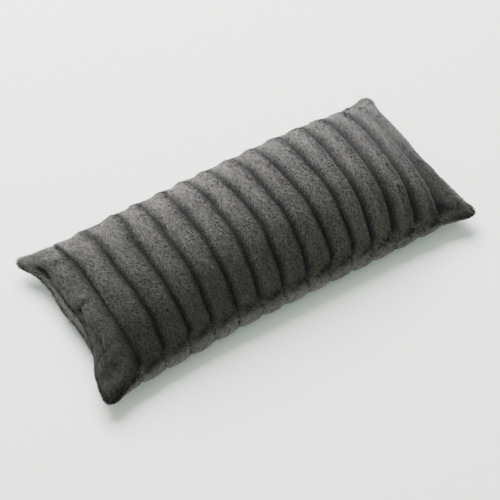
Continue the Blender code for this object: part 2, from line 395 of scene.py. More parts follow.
def straight(position, table, column=1):
    """Straight lines through the rows of a table, by its first column."""
    at, value = np.array(table)[:, [0, column]].T
    return np.interp(position, at, value)


def fade(share):
    """0 to 1 with a soft start and a soft end."""
    share = np.clip(share, 0, 1)
    return share * share * (3 - 2 * share)


def ramp(value, ends):
    """0 at one value to 1 at another, with a soft start and a soft end."""
    return fade((value - ends[0]) / (ends[1] - ends[0]))


def fall(across, shape):
    """1 in the middle, 0 at the seam."""
    return (1 - np.abs(across) ** shape[0]) ** shape[1]


def from_short_side(u):
    """Distance from the nearer short side, measured in the flat panel."""
    return (1 - np.abs(u)) * HALF_LENGTH


def from_long_side(v):
    """Distance from the nearer long side, measured in the flat panel."""
    return (1 - np.abs(v)) * HALF_WIDTH


def from_seam(u, v):
    """Distance from the nearest seam, measured in the flat panel."""
    return np.minimum(from_short_side(u), from_long_side(v))


def near(distance, reach):
    """1 at no distance, 0 from the reach on."""
    return np.clip(1 - distance / reach, 0, 1)


def corner_rounding(u, v):
    """How far in X and Y a place near a corner moves in, so that corners are round in plan."""
    along = near(from_short_side(u), CORNER)
    across = near(from_long_side(v), CORNER)
    inward_x = CORNER * along * (1 - np.sqrt(1 - across**2 / 2))
    inward_y = CORNER * across * (1 - np.sqrt(1 - along**2 / 2))
    return np.sign(u) * inward_x, np.sign(v) * inward_y


def swell(distance, width):
    """0 at the seam, 1 a little way in, 0 again at the given width."""
    return np.sin(np.pi * np.sqrt(np.clip(distance / width, 0, 1))) ** 2


def cloth(u, v, face):
    """The filled panel's cloth without its pile."""
    far_u = np.abs(u)
    short_side = np.where(u < 0, eased(v, SHORT_SIDES, 1), -eased(v, SHORT_SIDES, 2)) * MM
    long_side = np.where(v < 0, eased(u, LONG_SIDES, 1), eased(u, LONG_SIDES, 2)) * MM
    inward_x, inward_y = corner_rounding(u, v)
    x = u * HALF_LENGTH + short_side * far_u**SHORT_SIDE_REACH - inward_x
    y = v * (HALF_WIDTH - long_side) - inward_y
    middle = TIP_HEIGHT + LONG_SIDE_RISE * (1 - far_u**LONG_SIDE_RISE_REACH) * v**2
    middle = middle + MIDDLE_RISE * (1 - u**2) * (1 - v**2)
    if face > 0:
        lean = 1 + CROWN_LEAN * u * (1 - far_u)
        z = middle + CROWN * fall(u, CROWN_ALONG) * fall(v, CROWN_ACROSS) * lean
    else:
        belly = fall(u, BELLY_ALONG) * fall(v, BELLY_ACROSS)
        z = middle + (PILE - PRESSED - middle) * belly
        short_swell = eased(v, SHORT_SIDE_SWELL, 1) * MM
        short_swell = short_swell * swell(from_short_side(u), SHORT_SIDE_SWELL_WIDTH)
        long_swell = eased(u, LONG_SIDE_SWELL, 1) * MM
        long_swell = long_swell * swell(from_long_side(v), LONG_SIDE_SWELL_WIDTH)
        x = x - np.where(u < 0, short_swell, 0)
        y = y + np.sign(v) * long_swell
    return np.stack([x, y, z], -1)


def rib_share(u):
    """Where u lies between its two channels, 0 to 1, and the number of its rib."""
    x = u * HALF_LENGTH / MM
    at = np.array((-HALF_LENGTH / MM, *CHANNELS_MM, HALF_LENGTH / MM))
    index = np.clip(np.searchsorted(at, x) - 1, 0, len(at) - 2)
    share = np.clip((x - at[index]) / (at[index + 1] - at[index]), 0, 1)
    return share, index


def has_two_channels(index):
    """Whether a rib lies between two channels, and not between a channel and a short side."""
    return (index > 0) & (index < len(CHANNELS_MM))


def from_channel(u):
    """Distance from the nearest channel, as a share of the rib's width."""
    share, index = rib_share(u)
    nearest = np.minimum(share, 1 - share)
    nearest = np.where(index == 0, 1 - share, nearest)
    return np.where(index == len(CHANNELS_MM), share, nearest)


def rib_form(u, v, face):
    """Channel depth, sinking, fullness, lean and width of the channel's painted shade, on one face.
    """
    form = [straight(v, RIBS[face], column) for column in range(1, len(RIBS[face][0]))]
    if face < 0:
        return form
    right = ramp(u, SOFT_END)
    return [value * (1 + (change - 1) * right) for value, change in zip(form, SOFT_END_FORM)]


def rib_height(u, fullness, lean):
    """0 in a channel, 1 on the crest of a rib."""
    share, index = rib_share(u)
    between = np.sin(np.pi * share**lean)
    at_end = np.sin(np.pi / 2 * np.clip(2 * from_channel(u), 0, 1))
    height = np.where(has_two_channels(index), between, at_end)
    return np.clip(height, 0, 1) ** fullness


def channel_bend(u, v):
    """How far towards +X the front channels stray from their straight lines, metres."""
    table = np.array(CHANNEL_BENDS)
    along = blend_weights(table[:, 0], (u * HALF_LENGTH / MM).ravel())
    across = blend_weights(np.array(BEND_ROWS), v.ravel())
    bend = np.einsum("nr,nr->n", along @ table[:, 1:], across).reshape(u.shape)
    ends = fade(from_short_side(u) / (3 * BEND_FADE)) * fade(from_long_side(v) / BEND_FADE)
    return bend * MM * ends


def fold_height(u, v, start, end, half_width):
    """Height of one fold, from near 0 at its ends to 1 along its middle."""
    size = np.array([HALF_LENGTH, HALF_WIDTH]) / MM
    start = np.array(start) * size
    run = np.array(end) * size - start
    place = np.stack([u, v], -1) * size - start
    share = np.clip((place @ run) / (run @ run), 0, 1)
    off = np.linalg.norm(place - share[..., None] * run, axis=-1)
    along = np.sin(np.pi * (FOLD_ENDS + (1 - 2 * FOLD_ENDS) * share))
    return np.exp(-((off / half_width) ** 2)) * along


def seam_rounding(u, v):
    """0 at the seam, 1 where the pile has its full height."""
    return np.sqrt(1 - near(from_seam(u, v), PILE_ROUNDING) ** 2)


def far_rib(u, v):
    """How much higher the front ribs stand beside the far seam."""
    share, index = rib_share(u)
    rise = straight(share, FAR_RIB) * has_two_channels(index)
    return rise * MM * ramp(v, FAR_RIB_ROWS)


def pile_height(u, v, face):
    """How far the tips of the pile stand off the cloth, between the seams."""
    depth, _sinking, fullness, lean, _line = rib_form(u, v, face)
    height = PILE - CHANNEL_DEPTH * depth * (1 - rib_height(u, fullness, lean))
    inside = fade(from_seam(u, v) / EVEN_EDGE)
    height = height + inside * MM * uneven(u, v, RIB_LUMPS_MM, face)
    return height + far_rib(u, v) if face > 0 else height


def relief(u, v):
    """Puckers and folds of the front panel's cloth: height, and a factor of painted shade in the
    puckers and painted highlight on the folds.
    """
    height = np.zeros_like(u)
    # Painted shade in the puckers and painted highlight on the folds, as one factor.
    dark = np.ones_like(u)
    for at_u, at_v, radius_u, radius_v, dent, painted_shade in PUCKERS:
        reach = ((u - at_u) / radius_u) ** 2 + ((v - at_v) / radius_v) ** 2
        height = height - dent * MM * np.exp(-reach)
        dark = dark * (1 - painted_shade * np.exp(-reach))
    for start, end, half_width, fold in FOLDS:
        rise = fold * fold_height(u, v, start, end, half_width)
        height = height + rise * MM
        dark = dark * (1 + FOLD_HIGHLIGHT * rise)
    return height, dark


def uneven(u, v, lumps, face=0):
    """Smooth unevenness over a panel, up to its amount either way."""
    amount, size_u, size_v, seed = lumps
    dice = np.random.default_rng(seed + face)
    x = (u + 1) * HALF_LENGTH / size_u
    y = (v + 1) * HALF_WIDTH / size_v
    column = x.astype(int)
    row = y.astype(int)
    lattice = dice.uniform(-1, 1, (column.max() + 2, row.max() + 2))
    s = fade(x - column)
    t = fade(y - row)
    start = lattice[column, row] * (1 - s) + lattice[column + 1, row] * s
    end = lattice[column, row + 1] * (1 - s) + lattice[column + 1, row + 1] * s
    return amount * (start * (1 - t) + end * t)


def unit(vectors):
    """The same directions, each of length 1."""
    return vectors / np.maximum(np.linalg.norm(vectors, axis=-1, keepdims=True), TINY)


def grid_normals(points, face):
    """Unit normals of a panel's grid of points, outward."""
    along = np.gradient(points, axis=0)
    across = np.gradient(points, axis=1)
    normal = np.cross(along, across) * face
    # The outermost ring lies on the seam, where a corner's own edges may vanish.
    normal[[0, -1]] = normal[[1, -2]]
    normal[:, [0, -1]] = normal[:, [1, -2]]
    return unit(normal)


def seam_grid(columns, rows):
    """Numbers of the vertices of both panels' grids, which share the seam, and the quads."""
    front = np.arange(columns * rows).reshape(columns, rows)
    back = front.copy()
    inner = (columns - 2) * (rows - 2)
    back[1:-1, 1:-1] = columns * rows + np.arange(inner).reshape(columns - 2, rows - 2)
    quads = []
    for numbers, way_round in ((front, 1), (back, -1)):
        corners = [numbers[:-1, :-1], numbers[1:, :-1], numbers[1:, 1:], numbers[:-1, 1:]]
        quads.append(np.stack([c.ravel() for c in corners[::way_round]], -1))
    return front, back, np.concatenate(quads)


def gathered(values, front, back):
    """Grid values of both panels, by face, as one list in vertex order."""
    flat = np.zeros((back.max() + 1,) + values[1].shape[2:])
    flat[back] = values[-1]
    flat[front] = values[1]
    return flat


def linked(name, data):
    """An object of the scene."""
    thing = bpy.data.objects.new(name, data)
    bpy.context.scene.collection.objects.link(thing)
    return thing


def plain_mesh(name, points, faces):
    """A mesh object with its place in its points."""
    data = bpy.data.meshes.new(name)
    data.from_pydata(np.asarray(points).tolist(), [], np.asarray(faces).tolist())
    data.update()
    return linked(name, data)


def store(thing, name, values):
    """Keep a number or a vector on every point of a mesh."""
    vectors = values.ndim == 2
    attribute = thing.data.attributes.new(name, "FLOAT_VECTOR" if vectors else "FLOAT", "POINT")
    key = "vector" if vectors else "value"
    attribute.data.foreach_set(key, values.astype(np.float32).ravel())


def stored(thing, name):
    """The numbers or vectors kept on the points of a mesh."""
    attribute = thing.data.attributes[name]
    vectors = attribute.data_type == "FLOAT_VECTOR"
    values = np.zeros(len(attribute.data) * (3 if vectors else 1), np.float32)
    attribute.data.foreach_get("vector" if vectors else "value", values)
    return values.reshape(-1, 3) if vectors else values


def spread(count, gather):
    """Positions from -1 to 1, closer together towards both ends."""
    line = np.linspace(-1, 1, count)
    return (1 - gather) * line + gather * np.sin(line * np.pi / 2)


def skin_columns():
    """u of the skin's columns: each rib's own, close together beside the channels."""
    half_mm = HALF_LENGTH / MM
    places = []
    for left, right in zip(CHANNELS_MM[:-1], CHANNELS_MM[1:]):
        places += [left + share * (right - left) for share in COLUMN_SHARES]
    end = np.sin(np.linspace(0, np.pi / 2, END_COLUMNS))
    places += list(CHANNELS_MM[-1] + end * (half_mm - CHANNELS_MM[-1]))
    places += list(CHANNELS_MM[0] - end[1:] * (half_mm + CHANNELS_MM[0]))
    return np.array(sorted(places)) / half_mm


def blend_weights(at, line):
    """Matrix that reads values known at some positions at the positions of a finer line."""
    return np.stack([np.interp(line, at, own) for own in np.eye(len(at))], -1)


def softened(values, passes):
    """Grid values averaged with their neighbours."""
    for _pass in range(passes):
        for _axis in (0, 1):
            wider = np.concatenate([values[:1], values, values[-1:]])
            values = (wider[:-2] + 2 * values + wider[2:]) / 4
            values = values.swapaxes(0, 1)
    return values


def filling_pushes(u_line, v_line):
    """How far the filling's pressure pushes and puckers the cloth, on a grid of each panel."""
    coarse_u = spread(*FILLING_COLUMNS)
    coarse_v = spread(*FILLING_ROWS)
    u, v = np.meshgrid(coarse_u, coarse_v, indexing="ij")
    front, back, quads = seam_grid(len(coarse_u), len(coarse_v))
    start = gathered({face: cloth(u, v, face) for face in FACES}, front, back)
    panel = np.stack([u * CUT_LENGTH / 2, v * CUT_WIDTH / 2, np.zeros_like(u)], -1)
    lifted = panel + np.array([0, 0, MM]) * (1 - np.maximum(np.abs(u), np.abs(v)))[..., None]
    cut = gathered({1: lifted, -1: lifted * np.array([1, 1, -1])}, front, back)
    thing = plain_mesh("filled_panels", start, quads)
    thing.shape_key_add(name="filled")
    flat_key = thing.shape_key_add(name="as_cut")
    flat_key.data.foreach_set("co", cut.astype(np.float32).ravel())
    modifier = thing.modifiers.new("filling", "CLOTH")
    modifier.point_cache.frame_start = 1
    modifier.point_cache.frame_end = FILLING_FRAMES
    modifier.collision_settings.use_collision = False
    for name, value in FILLED_CLOTH.items():
        setattr(modifier.settings, name, value)
    modifier.settings.rest_shape_key = flat_key
    modifier.settings.effector_weights.gravity = 0
    for number in range(1, FILLING_FRAMES + 1):
        bpy.context.scene.frame_set(number)
    evaluated = thing.evaluated_get(bpy.context.evaluated_depsgraph_get())
    moved = np.zeros(len(start) * 3, np.float32)
    evaluated.data.vertices.foreach_get("co", moved)
    push = moved.reshape(-1, 3) - start
    bpy.context.scene.frame_set(1)
    bpy.data.objects.remove(thing)
    along = blend_weights(coarse_u, u_line)
    across = blend_weights(coarse_v, v_line)
    pushes = {}
    for face, numbers in ((1, front), (-1, back)):
        grid = push[numbers]
        # The even swell is in the cushion's own sizes already, so the puckers are kept.
        grid = grid - softened(grid, EVEN_PASSES)
        far = np.linalg.norm(grid, axis=-1, keepdims=True)
        grid = grid * np.minimum(1, FURTHEST_PUSH / np.maximum(far, TINY))
        finer = np.einsum("ic,jr,crk->ijk", along, across, grid)
        pushes[face] = softened(finer, SOFT_PASSES)
    return pushes


def comb_angle(u, v, face):
    """Angle of the nap from the line of the ribs towards +X, radians."""
    if face > 0:
        share, index = rib_share(u)
        end_fan = END_FAN_DEG[0] + (END_FAN_DEG[1] - END_FAN_DEG[0]) * share
        fan = np.where(index == 0, end_fan, straight(share, NAP_FAN_DEG))
    else:
        fan = BACK_NAP_DEG
    sway = sum(uneven(u, v, lumps) for lumps in NAP_SWAYS_DEG)
    return np.radians(fan + sway)


def channel_shade(u, v, face):
    """Painted shade beside the channels: how much of the tips' light dye is left there, 0 to 1."""
    share, index = rib_share(u)
    nearest = from_channel(u)
    line_width = rib_form(u, v, face)[-1]
    valley = CHANNEL_SHADED_TONE + (SOFT_END_SHADED_TONE - CHANNEL_SHADED_TONE) * ramp(u, SOFT_END)
    one_sided = (np.where(share < 0.5, *SHADE_SIDES) - 1) * has_two_channels(index) * (face > 0)
    one_sided = one_sided * (1 - ramp(v, SHADE_SIDES_ROWS))
    painted_shading = valley + (1 - valley) * fade(nearest * (1 + one_sided) / line_width)
    painted_shading = painted_shading * (1 - CHANNEL_CORE_SHADE[0] * np.exp(-((nearest / CHANNEL_CORE_SHADE[1]) ** 2)))
    sunk = fade(from_seam(u, v) / CHANNEL_START)
    return 1 - (1 - painted_shading) * (SHADE_AT_SEAM + (1 - SHADE_AT_SEAM) * sunk)


def front_shade_and_highlight(u, v, dark):
    """Painted shade of the front's channels and puckers, with painted highlight on its folds."""
    painted_shading = dark * channel_shade(u, v, 1)
    last = ramp(u * HALF_LENGTH / MM, LAST_CHANNEL_MM) * ramp(v, LAST_CHANNEL_ROWS)
    return painted_shading + (1 - painted_shading) * last * (1 - LAST_CHANNEL_SHADE_LEFT)


def back_painted_shade(u, v):
    """Tone of the back, with painted shade in its channels, beside its -X end, towards +X and
    underneath.
    """
    shaded_left_end = (1 - fade(from_short_side(u) / LEFT_BACK_SHADE_WIDTH)) * (u < 0)
    painted_shading = channel_shade(u, v, -1) * BACK_TONE * (1 - (1 - LEFT_BACK_SHADED_TONE) * shaded_left_end)
    return painted_shading * straight(u, BACK_SHADE_ALONG) * straight(v, BACK_SHADE_ACROSS)


def painted_light_share(u, v):
    """Painted light and shade on the front: how much of its light dye is kept, 0 to 1."""
    depth = straight(u, NEAR_PAINTED_LIGHT)
    return depth + (straight(u, FAR_PAINTED_LIGHT) - depth) * straight(v, FAR_PAINTED_LIGHT_SHARE)


def panel_facts(u, v, face, pushes):
    """All that the cloth and its locks need to know at a panel's grid of places."""
    none = np.zeros_like(u)
    near_short = 1 - fade(from_short_side(u) / SEAM_REACH)
    near_long = 1 - fade(from_long_side(v) / SEAM_REACH)
    near_seam = np.maximum(near_short, near_long)
    inside = fade(from_seam(u, v) / EVEN_EDGE)
    warped = u + inside * uneven(u, v, CHANNEL_WANDER_MM, face) * MM / HALF_LENGTH
    if face > 0:
        warped = warped + channel_bend(u, v) / HALF_LENGTH
    base = cloth(warped, v, face) + pushes
    normal = grid_normals(base, face)
    # The pile stands upright on the cloth and turns sideways out of the seam.
    sideways = np.stack([
        np.sign(u) * near(from_short_side(u), PILE_ROUNDING),
        np.sign(v) * near(from_long_side(v), PILE_ROUNDING),
        none,
    ], -1)
    splay = np.where((u < 0) & (face > 0), LEFT_END_SPLAY, SPLAY)
    splay = np.stack([splay, np.full_like(u, SPLAY), none], -1)
    stand = unit(normal + splay * sideways)
    height = pile_height(u, v, face)
    rounding = seam_rounding(u, v)
    creases, dark = relief(u, v) if face > 0 else (none, 1)
    sunk = fade(from_seam(u, v) / CHANNEL_START) * rib_form(u, v, face)[1]
    sink = CHANNEL_SINK * sunk * np.exp(-((from_channel(u) / CHANNEL_SINK_WIDTH) ** 2))
    low = (CLOTH_SHARE * height + creases - sink) * rounding
    high = (height + creases - sink) * rounding
    place = base + low[..., None] * stand
    place[..., 2] = np.maximum(place[..., 2], CLOTH_LEVEL)
    outside = grid_normals(base + high[..., None] * stand, face)
    if face > 0:
        outside = unit(outside + SEAM_LIFT * near_long[..., None] * np.array([0, 0, 1]))
    # The nap's direction over the panel, from the width's and the length's.
    across = unit(np.gradient(base, axis=1))
    along = unit(np.cross(across, normal))
    angle = comb_angle(u, v, face)[..., None]
    comb = across * np.cos(angle) - face * along * np.sin(angle)
    lean = np.radians(LEAN_DEG[face] + uneven(u, v, LEAN_SWAY_DEG))[..., None]
    root = comb * np.sin(lean) + stand * np.cos(lean)
    root = root + SEAM_HANG[face] * sideways * near_seam[..., None]
    full = np.clip(height / PILE, 0, 1) * rounding
    reach = SHORTEST_LOCK + (LONGEST_LOCK - SHORTEST_LOCK) * full
    # Painted shade of the channels, puckers and back, with painted highlight on the folds.
    line = front_shade_and_highlight(u, v, dark) if face > 0 else back_painted_shade(u, v)
    under = fade((UNDERSIDE[0] - place[..., 2]) / UNDERSIDE[1]) * (face < 0)
    # Painted light tint: cool on the lit far side, warm on the shaded near side.
    cool = np.clip(straight(v, COOL_LIGHT_ROWS) + COOL_LIGHT_ALONG * u, 0, 1)
    return {
        "place": place,
        "growth": unit(root),
        "outside": outside,
        "reach": reach + near_long * FRINGE + near_short * FRINGE,
        "thick": 1 - UNDERSIDE_LOSS * under,
        # Painted shading: the painted shade and highlight times the front's painted light and
        # shade.
        "painted_shading": line * painted_light_share(u, v) if face > 0 else line,
        "line": line,
        "cool": cool * (face > 0),
        "against": straight(v, AGAINST) * (1 - near_seam) * (face > 0),
        "strokes": straight(v, STROKES) if face > 0 else np.ones_like(u),
        "hanging": near_seam**2,
    }


def skin():
    """The cloth under the pile, and the piece of pile that each of its faces belongs to."""
    u_line = skin_columns()
    v_line = spread(SKIN_ROWS, ROWS_GATHER)
    u, v = np.meshgrid(u_line, v_line, indexing="ij")
    front, back, quads = seam_grid(len(u_line), len(v_line))
    pushes = filling_pushes(u_line, v_line)
    panels = {face: panel_facts(u, v, face, pushes[face]) for face in FACES}
    facts = {
        name: gathered({face: panels[face][name] for face in FACES}, front, back)
        for name in panels[1]
    }
    thing = plain_mesh("fur_cloth", facts.pop("place"), quads)
    for name, values in facts.items():
        store(thing, name, values)
    middle_u = (u_line[1:] + u_line[:-1]) / 2
    third = ((middle_u + 1) * 3 / 2).astype(int)
    half = (middle_u + 1).astype(int)
    rows = len(v_line) - 1
    zones = np.concatenate([np.repeat(third, rows), np.repeat(half, rows) + 3])
    attribute = thing.data.attributes.new("zone", "INT", "FACE")
    attribute.data.foreach_set("value", zones.astype(np.int32))
    thing.data.shade_smooth()
    return thing, zones


class Tree:
    """A node tree that is built a node at a time."""

    def __init__(self, tree):
        self.tree = tree

    def feed(self, socket, value):
        if isinstance(value, bpy.types.NodeSocket):
            self.tree.links.new(value, socket)
        else:
            socket.default_value = value

    def add(self, kind, feeds=(), **settings):
        """A node with its settings made, and its inputs fed by name or number."""
        node = self.tree.nodes.new(kind)
        for name, value in settings.items():
            setattr(node, name, value)
        for key, value in dict(feeds).items():
            self.feed(node.inputs[key], value)
        return node

    def first(self, kind, feeds=(), **settings):
        """The first output of a new node."""
        return self.add(kind, feeds, **settings).outputs[0]

    def math(self, operation, *values):
        return self.first("ShaderNodeMath", enumerate(values), operation=operation)

    def times(self, value, factor):
        return self.math("MULTIPLY", value, factor)

    def mixed(self, share, start, end):
        feeds = {0: share, 6: start, 7: end}
        return self.add("ShaderNodeMix", feeds, data_type="RGBA").outputs[2]

    def vector(self, operation, *values):
        node = self.add("ShaderNodeVectorMath", enumerate(values), operation=operation)
        return node.outputs["Value" if operation == "DOT_PRODUCT" else "Vector"]

    def scaled(self, vector, factor):
        feeds = {"Vector": vector, "Scale": factor}
        return self.first("ShaderNodeVectorMath", feeds, operation="SCALE")

    def combined(self, **parts):
        return self.first("ShaderNodeCombineXYZ", parts)

    def varied(self, value, span):
        """A factor about 1 that follows a value from 0 to 1, over the given span."""
        return self.math("MULTIPLY_ADD", value, span, 1 - span / 2)

    def noise(self, place, scale, detail=1.0):
        feeds = {"Vector": place, "Scale": scale, "Detail": detail}
        return self.add("ShaderNodeTexNoise", feeds, noise_dimensions="3D").outputs

    def named(self, name, kind="FLOAT"):
        """A value that the points or faces of the geometry carry."""
        return self.first("GeometryNodeInputNamedAttribute", {"Name": name}, data_type=kind)

    def random(self, low, high, seed, kind="FLOAT"):
        node = self.add("FunctionNodeRandomValue", {"Seed": seed}, data_type=kind)
        sockets = [s for s in node.inputs if s.enabled]
        sockets[0].default_value = low
        sockets[1].default_value = high
        return next(s for s in node.outputs if s.enabled)

    def keep(self, geometry, name, kind, value):
        """Geometry whose points carry a value under a name."""
        feeds = {"Geometry": geometry, "Name": name}
        node = self.add("GeometryNodeStoreNamedAttribute", feeds, data_type=kind, domain="POINT")
        self.feed(next(s for s in node.inputs if s.name == "Value" and s.enabled), value)
        return node.outputs["Geometry"]

    def read(self, name, output="Fac"):
        """A value that a material reads from its piece."""
        return self.add("ShaderNodeAttribute", attribute_name=name).outputs[output]


def name_sockets(tree, side, sockets):
    """Named inputs or outputs of a node group, each with its kind and, for some, a value."""
    for name, kind, *value in sockets:
        socket = tree.interface.new_socket(name, in_out=side, socket_type="NodeSocket" + kind)
        if value:
            socket.default_value = value[0]


def lock_shape():
    """One lock of hairs of width and length 1, growing along +Z and curling towards -Y."""
    curl = LOCK_CURL * LOCK_BEND**2
    half = LOCK_WIDTH_AT_BEND / 2
    points = [(-0.5, 0, 0), (0.5, 0, 0), (-half, -curl, LOCK_BEND), (half, -curl, LOCK_BEND)]
    points.append((0, -LOCK_CURL, 1))
    data = bpy.data.meshes.new("lock_of_pile")
    data.from_pydata(points, [], [(0, 1, 3, 2), (2, 3, 4)])
    thing = linked("lock_of_pile", data)
    store(thing, "along", np.array(points)[:, 2])
    return thing


def pile_tree():
    """Geometry Nodes that grow locks of pile from one zone of the cloth."""
    tree = bpy.data.node_groups.new("fur_pile", "GeometryNodeTree")
    name_sockets(tree, "INPUT", (
        ("Geometry", "Geometry"), ("Lock", "Object"), ("Zone", "Int"),
        ("Locks per square metre", "Float"), ("Width", "Float", LOCK_WIDTH),
        ("Wander", "Float", LOCK_WANDER), ("Fly", "Float"), ("Roll", "Float", ROLL),
        ("Clump size", "Float", CLUMP_SIZE), ("Clumping", "Float", CLUMPING),
        ("Streak width", "Float", STREAK_WIDTH), ("Streak step", "Float", STREAK_STEP),
        ("Rest level", "Float", REST_LEVEL), ("Seed", "Int"), ("Material", "Material"),
    ))
    name_sockets(tree, "OUTPUT", [("Geometry", "Geometry")])
    t = Tree(tree)
    given = t.add("NodeGroupInput").outputs

    # Roots, scattered over one zone.
    compared = {2: t.named("zone", "INT"), 3: given["Zone"]}
    part = t.first("GeometryNodeSeparateGeometry", {
        "Geometry": given["Geometry"],
        "Selection": t.first("FunctionNodeCompare", compared, data_type="INT", operation="EQUAL"),
    }, domain="FACE")
    roots = t.first("GeometryNodeDistributePointsOnFaces", {
        "Mesh": part,
        "Density": t.times(given["Locks per square metre"], t.named("thick")),
        "Seed": given["Seed"],
    }, distribute_method="RANDOM")

    # Direction: the combed growth, with a soft wander and a fly of each lock's own.
    place = t.first("GeometryNodeInputPosition")
    outside = t.named("outside", "FLOAT_VECTOR")
    combed = t.named("growth", "FLOAT_VECTOR")
    wander = t.noise(place, 1 / LOCK_WANDER_SIZE)["Color"]
    wander = t.scaled(t.vector("SUBTRACT", wander, (0.5, 0.5, 0.5)), given["Wander"])
    fly = t.scaled(t.random((-1, -1, -1), (1, 1, 1), 11, "FLOAT_VECTOR"), given["Fly"])
    upright = t.vector("DOT_PRODUCT", combed, outside)
    turned_back = t.vector("SUBTRACT", t.scaled(outside, t.times(2.0, upright)), combed)
    chosen = t.first("GeometryNodeSwitch", {
        "Switch": t.math("LESS_THAN", t.random(0.0, 1.0, 12), t.named("against")),
        "False": combed,
        "True": turned_back,
    }, input_type="VECTOR")
    growth = t.vector("ADD", t.vector("ADD", chosen, wander), fly)
    turned = t.first("FunctionNodeAxesToRotation", {
        0: t.vector("NORMALIZE", growth),
        1: outside,
    }, primary_axis="Z", secondary_axis="Y")
    roll = t.combined(Z=t.times(t.random(-1, 1, 13), given["Roll"]))
    rolled = t.first("FunctionNodeRotateRotation", {
        0: turned,
        1: t.first("FunctionNodeEulerToRotation", {0: roll}),
    }, rotation_space="LOCAL")

    # A lock's shade follows streaks that run along the nap, and partly its own chance.
    nap = t.vector("NORMALIZE", t.vector("SUBTRACT", combed, t.scaled(outside, upright)))
    scale = t.math("DIVIDE", 1.0, given["Streak width"])
    streak = 0.0
    for step in STREAK_STEPS:
        shift = t.scaled(nap, t.times(float(step), given["Streak step"]))
        spot = t.vector("ADD", place, shift)
        streak = t.math("ADD", t.noise(spot, scale)["Fac"], streak)
    gain = STREAK_GAIN / len(STREAK_STEPS)
    streak = t.math("MULTIPLY_ADD", streak, gain, 0.5 - STREAK_GAIN / 2)
    chance = t.times(t.random(0.0, 1.0, 15), 1 - STREAK_SHARE)
    shade = t.math("MULTIPLY_ADD", streak, STREAK_SHARE, chance)
    shade = t.math("MAXIMUM", t.math("MINIMUM", shade, 1.0), 0.0)
    shade = t.math("MULTIPLY_ADD", t.math("SUBTRACT", shade, 0.5), t.named("strokes"), 0.5)

    # Every lock knows its root and its shade.
    points = t.keep(roots, "root", "FLOAT_VECTOR", place)
    points = t.keep(points, "shade", "FLOAT", shade)
    lock = t.add("GeometryNodeObjectInfo", {"Object": given["Lock"]}, transform_space="ORIGINAL")
    length = t.times(t.named("reach"), t.random(*LOCK_LENGTHS, 14))
    width = t.times(given["Width"], t.random(*LOCK_WIDTHS, 16))
    grown = t.first("GeometryNodeInstanceOnPoints", {
        "Points": points,
        "Instance": lock.outputs["Geometry"],
        "Rotation": rolled,
        "Scale": t.combined(X=width, Y=length, Z=length),
    })
    real = t.first("GeometryNodeRealizeInstances", {"Geometry": grown})

    # Tips gather into clumps.
    root = t.named("root", "FLOAT_VECTOR")
    cell = t.add("ShaderNodeTexVoronoi", {
        "Vector": root,
        "Scale": t.math("DIVIDE", 1.0, given["Clump size"]),
    }, voronoi_dimensions="3D", feature="F1")
    pull = t.vector("SUBTRACT", cell.outputs["Position"], root)
    strength = t.math("POWER", t.named("along"), CLUMP_POWER)
    strength = t.times(given["Clumping"], strength)
    placed = t.first("GeometryNodeSetPosition", {
        "Geometry": real,
        "Offset": t.scaled(pull, strength),
    })

    # Nothing reaches below the surface that the cushion rests on.
    here = t.add("ShaderNodeSeparateXYZ", {0: place}).outputs
    level = t.math("MAXIMUM", here["Z"], given["Rest level"])
    rested = t.first("GeometryNodeSetPosition", {
        "Geometry": placed,
        "Position": t.combined(X=here["X"], Y=here["Y"], Z=level),
    })
    dyed_pile = {"Geometry": rested, "Material": given["Material"]}
    t.add("NodeGroupOutput", {"Geometry": t.first("GeometryNodeSetMaterial", dyed_pile)})
    return tree


def grow_pile(name, ground, tree, values):
    """A piece of pile grown from the cloth, as a plain mesh."""
    grower = linked(name + "_grower", ground.data.copy())
    modifier = grower.modifiers.new("pile", "NODES")
    modifier.node_group = tree
    for label, value in values.items():
        modifier[tree.interface.items_tree[label].identifier] = value
    bpy.context.view_layer.update()
    evaluated = grower.evaluated_get(bpy.context.evaluated_depsgraph_get())
    data = bpy.data.meshes.new_from_object(evaluated)
    data.name = name
    thing = linked(name, data)
    bpy.data.objects.remove(grower)
    return thing


